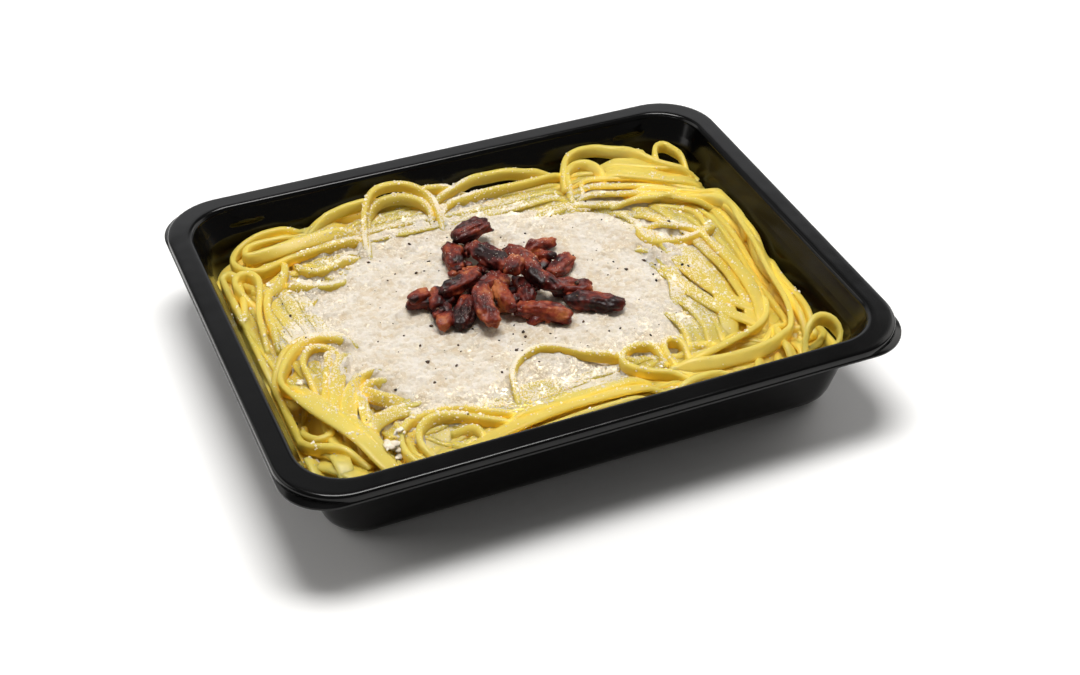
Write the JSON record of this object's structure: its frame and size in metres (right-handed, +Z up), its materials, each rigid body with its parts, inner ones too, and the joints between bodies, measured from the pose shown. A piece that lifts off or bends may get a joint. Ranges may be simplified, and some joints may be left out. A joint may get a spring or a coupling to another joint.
{
  "type": "pasta ready meal",
  "caption": "Pasta carbonara in a shallow black ready-meal tray: a tangled ring of ribbon pasta round a bed of grated cheese, with fried bacon lardons piled in the middle.",
  "frame": {"origin": "centre of the tray's base, on the surface that the tray stands on", "axes": "+X along the tray's long side, +Y along its short side towards the back, +Z up out of the tray"},
  "size_m": [0.227, 0.178, 0.038],
  "materials": {
    "tray": "satin black moulded plastic",
    "pasta": "moist, slightly glossy egg pasta",
    "cheese": "matt grated cheese over cream sauce",
    "bacon": "fried bacon, dark red meat with paler fat"
  },
  "bodies": {
    "root": {"tray": "tray", "pasta_heap": "pasta", "cheese_bed": "cheese", "lardon_01": "bacon", "lardon_02": "bacon", "lardon_03": "bacon", "lardon_04": "bacon", "lardon_05": "bacon", "lardon_06": "bacon", "lardon_07": "bacon", "lardon_08": "bacon", "lardon_09": "bacon", "lardon_10": "bacon", "lardon_11": "bacon", "lardon_12": "bacon", "lardon_13": "bacon", "lardon_14": "bacon", "lardon_15": "bacon", "lardon_16": "bacon", "lardon_17": "bacon", "lardon_18": "bacon", "lardon_19": "bacon", "lardon_20": "bacon", "lardon_21": "bacon"}
  },
  "joints": []
}
